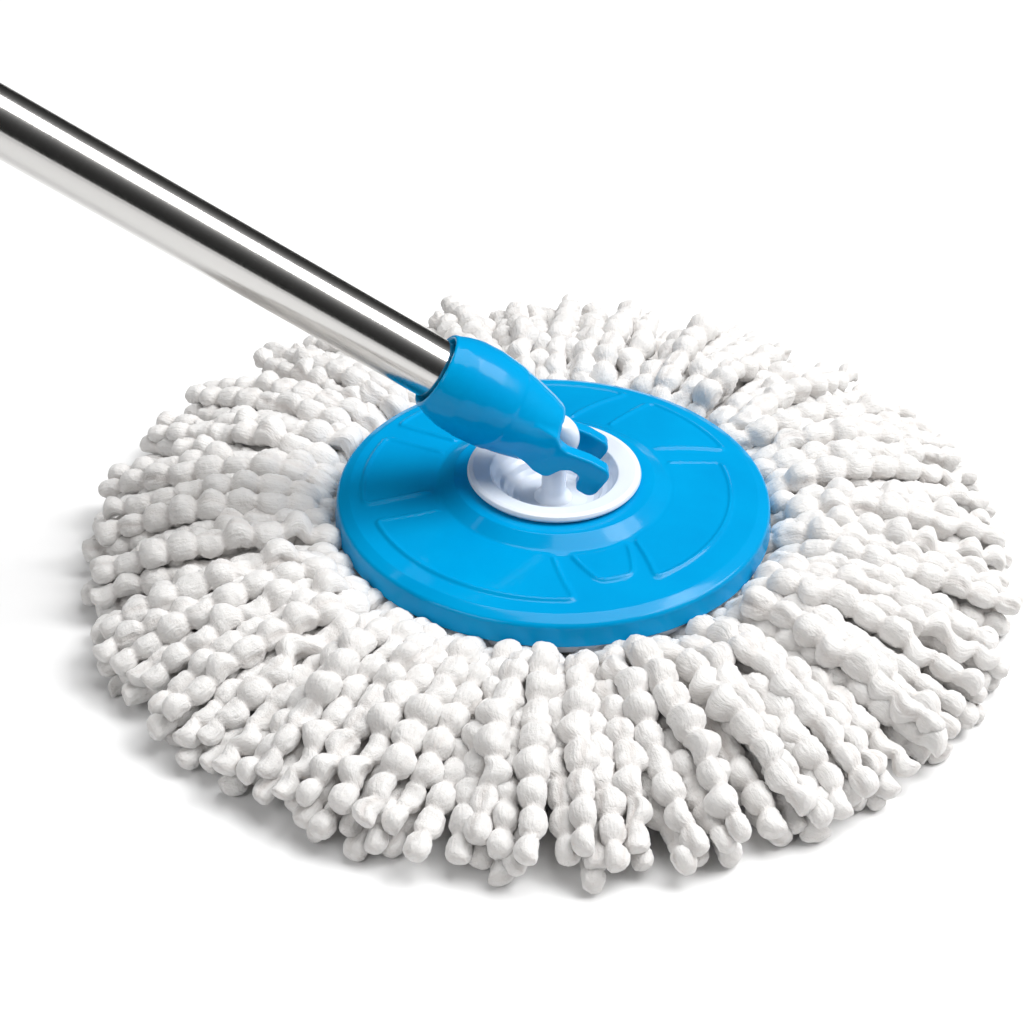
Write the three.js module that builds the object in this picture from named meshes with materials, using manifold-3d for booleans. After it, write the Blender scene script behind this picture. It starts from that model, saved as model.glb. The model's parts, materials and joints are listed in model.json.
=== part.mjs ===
// Spin mop: a round yarn head on a swivelling hub, a tilting yoke and a hand-press telescopic handle.
// Units are millimetres, +Z is up. The origin is the centre of the flat underside of the hub.
// The mop lies on its yarn, and the handle leans towards -X.
import * as THREE from "three";
import { mergeVertices } from "three/addons/utils/BufferGeometryUtils.js";
import Module from "manifold-3d";

const manifold = await Module();
manifold.setup();

// Driving dimensions.
const gap = 0.35; // between pieces that touch or are pressed together
const floorHeight = -18; // the surface that the yarn lies on
const headRadius = 170; // from the middle to the tips of the yarn
const plateRadius = 80;
const skirtBottom = 6; // lower edge of the plate's outer wall
const wall = 2.4; // thickness of the moulded plate
const hubHoleRadius = 28.2; // hole of the plate that the hub turns in
const bossTop = 22.3; // raised middle of the plate, under the hub's lip
const bundleCount = 20;

const pivotHeight = 38.5; // the tilt pin, on the axis of the head
const leanFromUpright = 57.2; // degrees, at rest
const armGap = 5.9; // half the space between the arms of the yoke
const armThickness = 6.1;
const knuckleRadius = 8.8;
const pinRadius = 2.2;
const pinHalfLength = 10.8;

// Heights along the handle are measured from the tilt pin.
const socketEnd = 2.4;
const socketMouth = 51;
const boreBottom = 15.6;
const lowerTubeRadius = 11;
const lowerTubeBore = 10.1;
const lowerTubeStart = 16;
const lowerTubeEnd = 560;
const upperTubeRadius = 12.5;
const upperTubeBore = 11.7;
const upperTubeStart = 500;
const upperTubeEnd = 1110;
const collarStart = 470;
const collarEnd = 540;
const nutStart = 548.4;
const nutEnd = 558.3;
const barWidth = 7;
const barThickness = 2;
const barStart = 528;
const barEnd = 1059.6;
const barLead = 110; // one full twist of the bar
const plugLength = 25;
const gripStart = 985;
const capLength = 38;
const hangHoleRadius = 6;

const rad = THREE.MathUtils.degToRad;

// Finishes.
function finish(color, roughness, metalness = 0) {
  return new THREE.MeshStandardMaterial({ color, roughness, metalness });
}
const bluePlastic = finish(0x0a96e0, 0.22);
const whitePlastic = finish(0xeef2f8, 0.3);
const steel = finish(0xc4c2be, 0.18, 1);
const darkSteel = finish(0x8c8c8c, 0.35, 1);
const yarn = finish(0xf3f1ee, 0.95);

// A closed outline of [radius, height] points turned about the local Z axis.
function turned(outline, segments = 24) {
  const points = outline.map(([radius, height]) => new THREE.Vector2(radius, height));
  if (outline[0][0] > 0) points.push(points[0].clone());
  const geometry = new THREE.LatheGeometry(points, segments);
  geometry.rotateX(Math.PI / 2);
  return geometry;
}

function ring(inner, outer, low, high, segments) {
  return turned([[inner, low], [outer, low], [outer, high], [inner, high]], segments);
}

// A flat outline in X and Z, with its thickness along Y about the middle plane.
function slab(shape, thickness, curveSegments = 5) {
  const geometry = new THREE.ExtrudeGeometry(shape, { depth: thickness, bevelEnabled: false, curveSegments });
  geometry.translate(0, 0, -thickness / 2);
  geometry.rotateX(Math.PI / 2);
  return geometry;
}

function crossPin(radius, length, segments = 20) {
  return new THREE.CylinderGeometry(radius, radius, length, segments);
}

function box(x, y, z) {
  return new THREE.BoxGeometry(x, y, z);
}

// Joins and cuts, on closed meshes.
function toSolid(geometry) {
  const bare = geometry.clone();
  bare.deleteAttribute("normal");
  bare.deleteAttribute("uv");
  const merged = mergeVertices(bare, 1e-4);
  const vertProperties = new Float32Array(merged.attributes.position.array);
  const triVerts = new Uint32Array(merged.index.array);
  return new manifold.Manifold(new manifold.Mesh({ numProp: 3, vertProperties, triVerts }));
}

function toGeometry(solid) {
  const mesh = solid.getMesh();
  const geometry = new THREE.BufferGeometry();
  geometry.setAttribute("position", new THREE.BufferAttribute(mesh.vertProperties, 3));
  geometry.setIndex(new THREE.BufferAttribute(mesh.triVerts, 1));
  geometry.computeVertexNormals();
  return geometry;
}

function join(...geometries) {
  return toGeometry(geometries.map(toSolid).reduce((sum, solid) => sum.add(solid)));
}

function cut(body, ...tools) {
  return toGeometry(tools.map(toSolid).reduce((rest, tool) => rest.subtract(tool), toSolid(body)));
}

function common(first, second) {
  return toGeometry(toSolid(first).intersect(toSolid(second)));
}

function part(name, geometry, material) {
  const mesh = new THREE.Mesh(geometry, material);
  mesh.name = name;
  return mesh;
}

// The plate: an outer wall, a sloping top with two shallow steps, and a raised boss round the hub.
function plateGeometry() {
  const top = [
    [plateRadius, skirtBottom],
    [plateRadius, 11.5],
    [79, 14.2],
    [77, 15.8],
    [74, 16.4],
    [66, 17],
    [44.5, 18.5],
    [40.5, 21.2],
    [37, 22],
    [hubHoleRadius, bossTop],
  ];
  const underside = [
    [hubHoleRadius, bossTop - wall],
    [36.5, 19.6],
    [39.2, 18.8],
    [43.5, 16],
    [73.6, 14],
    [76, 13.4],
    [77.6, 11],
    [77.6, skirtBottom],
  ];
  return turned([...top, ...underside], 60);
}

// The refill's base ring, which snaps into the plate from below and carries the yarn.
function refillRingGeometry() {
  return turned([[54, 2], [56, 0.5], [76, 0.5], [77.2, 2], [77.2, 8.5], [75.8, 8.5], [75, 3.4], [54, 3.4]], 48);
}

// One of the bundles of yarn: a plain wedge that keeps the bundle's outer shape and its place.
function bundleGeometry() {
  const section = [
    [62, -0.2],
    [62, -9],
    [84, floorHeight],
    [headRadius - 6, floorHeight],
    [headRadius, -13],
    [headRadius - 1, -5],
    [154, 7],
    [124, 15],
    [98, 16.5],
    [84.5, 12],
    [81, 5.2],
    [77.8, -0.2],
  ];
  const step = (2 * Math.PI) / bundleCount;
  const sideGap = 0.8;
  const outline = new THREE.Shape();
  const half = step / 2;
  const nearX = 50;
  const farX = headRadius + 10;
  outline.moveTo(nearX, -nearX * Math.tan(half) + sideGap);
  outline.lineTo(farX, -farX * Math.tan(half) + sideGap);
  outline.lineTo(farX, farX * Math.tan(half) - sideGap);
  outline.lineTo(nearX, nearX * Math.tan(half) - sideGap);
  const wedge = new THREE.ExtrudeGeometry(outline, { depth: 60, bevelEnabled: false });
  wedge.translate(0, 0, -30);
  return common(turned(section, 3 * bundleCount), wedge);
}

// The white hub: a stepped dish inside a rolled lip, with the knuckle of the tilt joint in its middle.
function hubGeometry() {
  const neckRadius = hubHoleRadius - 0.6;
  const dish = turned([
    [0, 10],
    [23, 10],
    [neckRadius, 14],
    [neckRadius, bossTop + gap],
    [31.6, bossTop + gap],
    [32.3, 23.6],
    [32, 25.2],
    [30.4, 26.1],
    [27.6, 26],
    [25.6, 24.8],
    [24.6, 23.2],
    [22.6, 22.4],
    [21.4, 20.4],
    [19.6, 18.4],
    [17.8, 17.4],
    [16.6, 15.4],
    [14.8, 13.6],
    [12.4, 13],
    [0, 13],
  ], 40);
  const stemHalfWidth = 5;
  const outline = new THREE.Shape();
  outline.moveTo(-stemHalfWidth - 2.5, 12);
  outline.lineTo(stemHalfWidth + 2.5, 12);
  outline.lineTo(stemHalfWidth, 17);
  outline.lineTo(stemHalfWidth, pivotHeight);
  outline.lineTo(-stemHalfWidth, pivotHeight);
  outline.lineTo(-stemHalfWidth, 17);
  const postWidth = 2 * (armGap - 0.4);
  const stem = slab(outline, postWidth);
  const knuckle = crossPin(knuckleRadius, postWidth);
  knuckle.translate(0, 0, pivotHeight);
  const bore = crossPin(pinRadius + 0.1, postWidth + 2);
  bore.translate(0, 0, pivotHeight);
  return cut(join(dish, stem, knuckle), bore);
}

// The cup below the plate that keeps the hub in its hole. Its underside is the flat face at the origin.
function retainerGeometry() {
  return turned([
    [0, 0],
    [20, 0],
    [24, 2],
    [33, 17],
    [33, 19.3],
    [30.8, 19.3],
    [22.6, 4.6],
    [19, 3],
    [8, 3],
    [8, 10 - gap],
    [0, 10 - gap],
  ], 32);
}

// The yoke, along local Z: a bulging socket for the lower tube, and two arms with locking lugs.
function yokeGeometry() {
  const socket = turned([
    [0, socketEnd],
    [10.8, socketEnd],
    [12, 3.4],
    [13.4, 8],
    [15.3, 16],
    [16.8, 24],
    [17.5, 33],
    [17.1, 41],
    [15.8, 46],
    [14.4, 49.4],
    [13.8, socketMouth],
    [12.6, socketMouth],
    [lowerTubeRadius + gap, 47],
    [lowerTubeRadius + gap, boreBottom],
    [0, boreBottom],
  ], 32);
  const arm = new THREE.Shape();
  // across the handle first, then along it
  arm.moveTo(-10, 9);
  arm.lineTo(-10, -1);
  arm.quadraticCurveTo(-9.6, -3.8, -7, -4.6);
  arm.quadraticCurveTo(-2.6, -5.6, -2.6, -9);
  arm.quadraticCurveTo(-2.8, -13.2, -6.4, -13.4);
  arm.quadraticCurveTo(-8.4, -14, -8.2, -17);
  arm.quadraticCurveTo(-7.4, -20.8, -4, -21.6);
  arm.lineTo(2.8, -21.6);
  arm.quadraticCurveTo(5.2, -21.2, 5.2, -18.6);
  arm.lineTo(4.8, -12);
  arm.lineTo(3.4, -3);
  arm.quadraticCurveTo(3.8, 0, 9.6, 4);
  arm.lineTo(9.6, 9);
  const arms = [-1, 1].map((side) => {
    const geometry = slab(arm, armThickness);
    geometry.translate(0, side * (armGap + armThickness / 2), 0);
    return geometry;
  });
  const throat = crossPin(knuckleRadius + 0.7, 2 * armGap);
  const slot = box(50, 2 * armGap, 20);
  slot.translate(0, 0, socketEnd - 10);
  const pinHole = crossPin(pinRadius + 0.1, 2 * pinHalfLength + 0.8);
  const rivetHole = crossPin(1.9, 12, 16);
  rivetHole.rotateZ(Math.PI / 2);
  rivetHole.translate(-16, 0, 32);
  return cut(join(socket, ...arms), throat, slot, pinHole, rivetHole);
}

// The rivet's head sits in the yoke's lower side; its shank ends short of the tube.
function rivetGeometry() {
  const geometry = turned([[0, 11.5], [1.5, 11.5], [1.5, 17.4], [1.1, 17.9], [0, 18.1]], 16);
  geometry.rotateY(-Math.PI / 2);
  geometry.translate(0, 0, 32);
  return geometry;
}

// The nut's housing in the lower tube's open end, and the cap that closes it.
function nutHousingGeometry() {
  return turned([
    [4.8, 536],
    [9.7, 536],
    [9.7, lowerTubeEnd + gap],
    [11, lowerTubeEnd + gap],
    [11, 563.4],
    [8, 563.4],
    [8, nutStart - gap],
    [4.8, nutStart - gap],
  ]);
}

function nutCapGeometry() {
  return turned([[4.8, nutEnd + gap], [7.6, nutEnd + gap], [7.6, 563.8], [11, 563.8], [11, 566.4], [4.8, 566.4]]);
}

// A flat bar twisted evenly about local Z; its turn is zero at height zero.
function twistedBar(width, thickness, low, high) {
  const steps = Math.ceil((high - low) / 4);
  const geometry = new THREE.BoxGeometry(width, thickness, high - low, 1, 1, steps);
  geometry.translate(0, 0, (low + high) / 2);
  const position = geometry.attributes.position;
  const point = new THREE.Vector3();
  const axis = new THREE.Vector3(0, 0, 1);
  for (let index = 0; index < position.count; index += 1) {
    point.fromBufferAttribute(position, index);
    point.applyAxisAngle(axis, (2 * Math.PI * point.z) / barLead);
    position.setXYZ(index, point.x, point.y, point.z);
  }
  return geometry;
}

function nutGeometry() {
  const clearance = 0.4;
  const slot = twistedBar(barWidth + 2 * clearance, barThickness + 2 * clearance, nutStart - 2, nutEnd + 2);
  return cut(ring(0, 7.6, nutStart, nutEnd), slot);
}

// The white bush that fits over the upper tube's lower end and slides on the lower tube.
function bushGeometry() {
  return turned([
    [lowerTubeRadius + gap, 484],
    [14.4, 484],
    [14.4, 512],
    [upperTubeRadius + gap, 512],
    [upperTubeRadius + gap, upperTubeStart - gap],
    [lowerTubeRadius + gap, upperTubeStart - gap],
  ]);
}

// The twist collar that locks the handle's length, with grip ribs round it.
function collarGeometry() {
  const sleeve = turned([
    [lowerTubeRadius + 0.5, collarStart],
    [15, collarStart],
    [16.6, 473],
    [17, 500],
    [16.4, 532],
    [14.8, collarEnd],
    [upperTubeRadius + gap, collarEnd],
    [upperTubeRadius + gap, 513],
    [14.8, 512.6],
    [14.8, 483.4],
    [lowerTubeRadius + 0.5, 482.6],
  ]);
  const ribCount = 8;
  const ribs = Array.from({ length: ribCount }, (_, index) => {
    const rib = box(2, 2.2, 44);
    rib.translate(16.8, 0, 502);
    rib.rotateZ((2 * Math.PI * index) / ribCount);
    return rib;
  });
  return join(sleeve, ...ribs);
}

function gripGeometry() {
  const outline = [[upperTubeRadius + gap, gripStart], [14.6, gripStart], [15.8, gripStart + 3]];
  const swells = 4;
  const swellLength = (upperTubeEnd - gripStart - 6) / swells;
  for (let index = 0; index < swells; index += 1) {
    const low = gripStart + 3 + index * swellLength;
    outline.push([16.8, low + swellLength * 0.5]);
    outline.push([15.8, low + swellLength]);
  }
  outline.push([15, upperTubeEnd], [upperTubeRadius + gap, upperTubeEnd]);
  return turned(outline);
}

// The cap in the top of the handle, with the hole that the mop hangs by.
function capGeometry() {
  const base = upperTubeEnd + gap;
  const body = turned([
    [0, upperTubeEnd - 20],
    [upperTubeBore - gap, upperTubeEnd - 20],
    [upperTubeBore - gap, base],
    [15, base],
    [15.4, base + 4],
    [14.6, base + 22],
    [12, base + 31],
    [7, base + capLength - 2],
    [0, base + capLength],
  ]);
  const flats = [-1, 1].map((side) => {
    const flat = box(60, 20, capLength);
    flat.translate(0, side * 18.5, base + 8 + capLength / 2);
    return flat;
  });
  const hole = crossPin(hangHoleRadius, 60);
  hole.translate(0, 0, base + 21);
  return cut(body, ...flats, hole);
}

const mop = new THREE.Group();

const head = new THREE.Group();
head.add(part("plate", plateGeometry(), bluePlastic));
head.add(part("refill_ring", refillRingGeometry(), whitePlastic));
const bundle = bundleGeometry();
for (let index = 0; index < bundleCount; index += 1) {
  const mesh = part(`yarn_${String(index + 1).padStart(2, "0")}`, bundle, yarn);
  mesh.rotation.z = (2 * Math.PI * index) / bundleCount;
  head.add(mesh);
}
mop.add(head);

const swivel = new THREE.Group();
swivel.add(part("hub", hubGeometry(), whitePlastic));
swivel.add(part("hub_retainer", retainerGeometry(), whitePlastic));
mop.add(swivel);

const handle = new THREE.Group();
handle.position.z = pivotHeight;
handle.rotation.y = -rad(leanFromUpright);
handle.add(part("yoke", yokeGeometry(), bluePlastic));
handle.add(part("tilt_pin", crossPin(pinRadius - 0.15, 2 * pinHalfLength), darkSteel));
handle.add(part("yoke_rivet", rivetGeometry(), darkSteel));
handle.add(part("lower_tube", ring(lowerTubeBore, lowerTubeRadius, lowerTubeStart, lowerTubeEnd), steel));
handle.add(part("nut_housing", nutHousingGeometry(), whitePlastic));
handle.add(part("nut_cap", nutCapGeometry(), whitePlastic));
handle.add(part("drive_nut", nutGeometry(), darkSteel));
handle.add(part("twisted_bar", twistedBar(barWidth, barThickness, barStart, barEnd), darkSteel));
handle.add(part("bar_plug", ring(0, upperTubeBore - gap, barEnd + gap, barEnd + gap + plugLength), whitePlastic));
handle.add(part("upper_tube", ring(upperTubeBore, upperTubeRadius, upperTubeStart, upperTubeEnd), steel));
handle.add(part("guide_bush", bushGeometry(), whitePlastic));
handle.add(part("lock_collar", collarGeometry(), bluePlastic));
handle.add(part("grip", gripGeometry(), bluePlastic));
handle.add(part("grip_cap", capGeometry(), bluePlastic));
mop.add(handle);

export default mop;
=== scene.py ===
import json
import math
import bpy
import numpy as np
from mathutils import Matrix, Vector


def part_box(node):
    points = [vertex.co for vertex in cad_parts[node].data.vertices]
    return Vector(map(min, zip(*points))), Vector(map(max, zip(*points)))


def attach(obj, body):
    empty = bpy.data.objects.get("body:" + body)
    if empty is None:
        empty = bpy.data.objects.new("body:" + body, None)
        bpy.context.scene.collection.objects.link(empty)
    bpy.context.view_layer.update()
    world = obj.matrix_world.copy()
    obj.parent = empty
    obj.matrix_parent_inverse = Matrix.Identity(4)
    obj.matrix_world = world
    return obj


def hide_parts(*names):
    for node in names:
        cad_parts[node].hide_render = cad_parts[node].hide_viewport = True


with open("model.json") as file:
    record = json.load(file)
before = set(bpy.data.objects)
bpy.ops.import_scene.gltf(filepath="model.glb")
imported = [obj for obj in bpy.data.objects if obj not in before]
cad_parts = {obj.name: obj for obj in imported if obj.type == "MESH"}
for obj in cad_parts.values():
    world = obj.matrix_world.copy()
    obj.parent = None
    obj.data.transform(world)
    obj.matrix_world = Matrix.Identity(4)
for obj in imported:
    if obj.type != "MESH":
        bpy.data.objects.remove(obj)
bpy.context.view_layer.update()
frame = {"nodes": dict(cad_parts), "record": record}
mm = 0.001
fullTurn = 2 * math.pi

# places that everything else is measured from, all read from the frame
joints = {joint["name"]: joint for joint in frame["record"]["behaviour"]["joints"]}
tiltPin = np.array(joints["yoke_tilt"]["pos_m"], float)
alongHandle = np.array(joints["press_slide"]["axis"], float)
acrossPin = np.array([0.0, 1.0, 0.0])
overHandle = np.cross(acrossPin, alongHandle)
handleAxes = np.stack([overHandle, acrossPin, alongHandle])
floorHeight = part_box("yarn_01")[0][2]
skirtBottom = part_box("plate")[0][2]
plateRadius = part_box("plate")[1][0]


def spanOnHandle(node):
    # lowest and highest corner of a node along the handle, in millimetres from the tilt pin
    mesh = frame["nodes"][node].data
    points = np.empty(3 * len(mesh.vertices))
    mesh.vertices.foreach_get("co", points)
    heights = (points.reshape(-1, 3) - tiltPin) @ alongHandle / mm
    return heights.min(), heights.max()


# meshes

def newObject(name, mesh, material):
    mesh.shade_smooth()
    mesh.materials.append(material)
    piece = bpy.data.objects.new(name, mesh)
    bpy.context.scene.collection.objects.link(piece)
    return piece


def fillMesh(name, points, faces):
    # points is (n, 3); faces is (m, 4), with a last index of -1 in a triangle
    mesh = bpy.data.meshes.new(name)
    corners = faces[faces >= 0]
    counts = (faces >= 0).sum(axis=1)
    mesh.vertices.add(len(points))
    mesh.vertices.foreach_set("co", np.ascontiguousarray(points, np.float32).ravel())
    mesh.loops.add(len(corners))
    mesh.loops.foreach_set("vertex_index", np.ascontiguousarray(corners, np.int32))
    mesh.polygons.add(len(faces))
    starts = np.concatenate([[0], np.cumsum(counts)[:-1]]).astype(np.int32)
    mesh.polygons.foreach_set("loop_start", starts)
    mesh.update(calc_edges=True)
    return mesh


def gridFaces(rows, columns, loop=False):
    # quads of a grid that is closed along its columns, and along its rows too when loop is set
    row = np.arange(rows if loop else rows - 1)[:, None]
    column = np.arange(columns)[None, :]
    nextRow = (row + 1) % rows
    nextColumn = (column + 1) % columns
    quads = [
        row * columns + column,
        row * columns + nextColumn,
        nextRow * columns + nextColumn,
        nextRow * columns + column,
    ]
    return np.stack([np.broadcast_to(q, (len(row), columns)) for q in quads], -1).reshape(-1, 4)


def capFaces(rows, columns):
    # triangles from a grid's first and last rows to the two middle points that follow its points
    column = np.arange(columns)
    after = (column + 1) % columns
    blank = np.full(columns, -1)
    lastRow = (rows - 1) * columns
    first = np.stack([after, column, np.full(columns, rows * columns), blank], -1)
    last = np.stack([lastRow + column, lastRow + after, np.full(columns, rows * columns + 1), blank], -1)
    return np.concatenate([first, last])


def closedSurface(name, grid, loop=False):
    # grid is (rows, columns, 3), closed round its columns; open ends are closed with a middle point
    rows, columns = grid.shape[:2]
    points = grid.reshape(-1, 3)
    faces = gridFaces(rows, columns, loop)
    if not loop:
        poles = np.stack([grid[0].mean(axis=0), grid[-1].mean(axis=0)])
        points = np.concatenate([points, poles])
        faces = np.concatenate([faces, capFaces(rows, columns)])
    return fillMesh(name, points, faces)


rounding = {"arcSteps": 6, "share": 0.45, "leastTurn": 0.02, "support": 0.15, "supportShare": 0.04}


def roundedCorner(before, here, after, fillet):
    # the arc that replaces one corner, with a supporting point just outside each of its ends
    before = before - here
    after = after - here
    lengthBefore, lengthAfter = np.linalg.norm(before), np.linalg.norm(after)
    before, after = before / lengthBefore, after / lengthAfter
    half = 0.5 * math.acos(float(np.clip(before @ after, -1, 1)))
    turn = math.pi - 2 * half
    if turn <= rounding["leastTurn"]:
        return here[None]
    share = rounding["share"]
    reach = min(fillet / math.tan(half), share * lengthBefore, share * lengthAfter)
    if reach < 1e-4:
        return here[None]
    middle = here + (before + after) / np.linalg.norm(before + after) * reach / math.cos(half)
    start, end = here + before * reach - middle, here + after * reach - middle
    step = np.linspace(0, 1, rounding["arcSteps"] + 1)[:, None]
    arc = (np.sin((1 - step) * turn) * start + np.sin(step * turn) * end) / math.sin(turn)
    supportShare = rounding["supportShare"]
    support = min(rounding["support"], supportShare * lengthBefore, supportShare * lengthAfter)
    ends = [here + before * (reach + support)], [here + after * (reach + support)]
    return np.concatenate([ends[0], middle + arc, ends[1]])


def roundedOutline(corners, closed, longest=4.0):
    # corners are (radius, height, fillet) in millimetres; every corner becomes an arc of its fillet's radius
    points = np.array([corner[:2] for corner in corners], float)
    fillets = [corner[2] for corner in corners]
    count = len(points)
    pieces = []
    for index in range(count):
        if not closed and index in (0, count - 1):
            pieces.append(points[index][None])
            continue
        after = points[(index + 1) % count]
        pieces.append(roundedCorner(points[index - 1], points[index], after, fillets[index]))
    outline = np.concatenate(pieces)
    if closed:
        outline = np.concatenate([outline, outline[:1]])
    lengths = np.linalg.norm(np.diff(outline, axis=0), axis=1)
    steps = np.maximum(1, np.ceil(lengths / longest)).astype(int)
    dense = []
    for start, end, parts in zip(outline[:-1], outline[1:], steps):
        dense.append(start + (end - start) * np.arange(parts)[:, None] / parts)
    return np.concatenate(dense if closed else dense + [outline[-1:]])


def turnedGrid(outline, segments, radiusScale=None):
    # the outline's radius and height carried round a circle: x = r cos a, y = r sin a, z = height
    angle = np.linspace(0, fullTurn, segments, endpoint=False)
    radius, height = outline[:, 0][:, None], outline[:, 1][:, None]
    if radiusScale is not None:
        radius = radius * radiusScale(height, angle[None, :])
    radius = np.broadcast_to(radius, (len(outline), segments))
    height = np.broadcast_to(height, radius.shape)
    return np.stack([radius * np.cos(angle), radius * np.sin(angle), height], -1)


def onHandle(grid):
    return tiltPin + (grid * mm) @ handleAxes


def turnedPiece(name, corners, material, segments, closed=True, handle=True, longest=4.0, radiusScale=None):
    # the outline's points run anticlockwise seen with the axis on the left, so that faces point outwards
    outline = roundedOutline(corners, closed, longest=longest)
    if not closed:
        outline = outline[1:-1]  # its ends lie on the axis
    grid = turnedGrid(outline, segments, radiusScale)
    grid = onHandle(grid) if handle else grid * mm
    return newObject(name, closedSurface(name, grid, loop=closed), material)


# materials

class Shade:
    # a socket with arithmetic: every operator adds its Math node
    def __init__(self, tree, socket):
        self.tree = tree
        self.socket = socket

    def math(self, operation, *values):
        node = self.tree.nodes.new("ShaderNodeMath")
        node.operation = operation
        for index, value in enumerate((self, *values)):
            plug(self.tree, node.inputs[index], value)
        return Shade(self.tree, node.outputs[0])

    def __add__(self, other):
        return self.math("ADD", other)

    __radd__ = __add__

    def __mul__(self, other):
        return self.math("MULTIPLY", other)

    __rmul__ = __mul__

    def __sub__(self, other):
        return self.math("SUBTRACT", other)

    def __rsub__(self, other):
        return self.math("MULTIPLY", -1).math("ADD", other)

    def clamped(self):
        return self.math("MAXIMUM", 0.0).math("MINIMUM", 1.0)


def plug(tree, socket, value):
    if isinstance(value, Shade):
        tree.links.new(value.socket, socket)
    else:
        socket.default_value = value


class Finish:
    # one material: node() adds any node, surface() feeds the Principled shader
    def __init__(self, name):
        self.material = bpy.data.materials.new(name)
        self.material.use_nodes = True
        self.tree = self.material.node_tree
        self.tree.nodes.clear()
        output = self.tree.nodes.new("ShaderNodeOutputMaterial")
        self.shader = self.tree.nodes.new("ShaderNodeBsdfPrincipled")
        self.tree.links.new(self.shader.outputs[0], output.inputs["Surface"])

    def node(self, kind, output=0, settings=None, **values):
        # a value is named after its socket, or i and a number where sockets share a name
        node = self.tree.nodes.new("ShaderNode" + kind)
        for key, value in (settings or {}).items():
            setattr(node, key, value)
        for key, value in values.items():
            numbered = key[0] == "i" and key[1:].isdigit()
            socket = node.inputs[int(key[1:])] if numbered else node.inputs[key.replace("_", " ")]
            plug(self.tree, socket, value)
        return Shade(self.tree, node.outputs[output])

    def place(self):
        return self.node("TexCoord", "Object")

    def noise(self, vector, scale, detail=4.0, roughness=0.55):
        return self.node("TexNoise", "Fac", Vector=vector, Scale=scale, Detail=detail, Roughness=roughness)

    def stretched(self, vector, scale, rotation=(0, 0, 0)):
        return self.node("Mapping", Vector=vector, Scale=scale, Rotation=rotation)

    def mix(self, factor, first, second):
        return self.node("Mix", 2, {"data_type": "RGBA"}, i0=factor, i6=first, i7=second)

    def bump(self, height, strength, distance):
        return self.node("Bump", Height=height, Strength=strength, Distance=distance)

    def surface(self, **values):
        for key, value in values.items():
            plug(self.tree, self.shader.inputs[key.replace("_", " ")], value)
        return self.material


def rgb(red, green, blue):
    return (red, green, blue, 1.0)


plasticShape = {
    "flowScale": 28.0, "smudgeScale": 75.0, "skinScale": 160.0, "fineScale": 2600.0,
    "scratchStretch": (900.0, 60.0, 300.0), "scratchTurn": (0.4, 0.3, 0.9), "smudge": 0.12, "wear": 0.1,
    "bump": 0.12, "bumpDepth": 0.0004,
}


def mouldedPlastic(name, color, deep, gloss=0.1, grain=0.0, **extra):
    # flow marks tint the colour, faint handling scratches break the gloss, and the skin is barely uneven
    finish = Finish(name)
    place = finish.place()
    flow = finish.noise(place, plasticShape["flowScale"], 3.0)
    smudge = finish.noise(place, plasticShape["smudgeScale"], 5.0)
    scratched = finish.stretched(place, plasticShape["scratchStretch"], plasticShape["scratchTurn"])
    scratch = finish.noise(scratched, 1.0, 2.0)
    skin = finish.noise(place, plasticShape["skinScale"], 2.0)
    fine = finish.noise(place, plasticShape["fineScale"], 2.0)
    shade = finish.mix((flow * 1.6 - 0.35).clamped(), color, deep)
    wear = ((scratch - 0.62) * 5.0).clamped()
    height = skin * 0.5 + fine * grain
    return finish.surface(
        Base_Color=shade,
        Roughness=gloss + (smudge - 0.4).clamped() * plasticShape["smudge"] + wear * plasticShape["wear"],
        Normal=finish.bump(height, plasticShape["bump"], plasticShape["bumpDepth"]),
        **extra)


steelShape = {
    "round": 20.0, "smearAcross": 60.0, "smearAlong": 9.0, "vary": 0.1, "bump": 0.05, "bumpDepth": 0.0002,
}


def polishedSteel(name, color, dark, roughness, lineScale):
    # fine polishing lines run round the tube, with slight smears along it
    finish = Finish(name)
    place = finish.place()
    tilt = math.atan2(alongHandle[0], alongHandle[2])
    turned = finish.node("Mapping", Vector=place, Rotation=(0.0, -tilt, 0.0))
    around, across = steelShape["round"], steelShape["smearAcross"]
    lines = finish.noise(finish.stretched(turned, (around, around, lineScale)), 1.0, 3.0)
    smear = finish.noise(finish.stretched(turned, (across, across, steelShape["smearAlong"])), 1.0, 4.0)
    shade = finish.mix(smear, color, dark)
    vary = steelShape["vary"]
    return finish.surface(
        Base_Color=shade,
        Metallic=1.0,
        Roughness=roughness + (lines - 0.5) * vary + (smear - 0.5).clamped() * vary,
        Normal=finish.bump(lines, steelShape["bump"], steelShape["bumpDepth"]))


# the darkest yarn colour below is painted shade for the waists and creases between beads
fibreShape = {
    "light": rgb(0.79, 0.776, 0.762), "shade": rgb(0.735, 0.722, 0.708), "creviceShadeColor": rgb(0.66, 0.61, 0.58),
    "creviceShadeShare": 0.75, "streakStretch": (1.2, 1.2, 0.2), "fluffScale": 0.55, "fuzzScale": 1.7,
    "bump": 0.6, "bumpDepth": 0.001,
}


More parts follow.
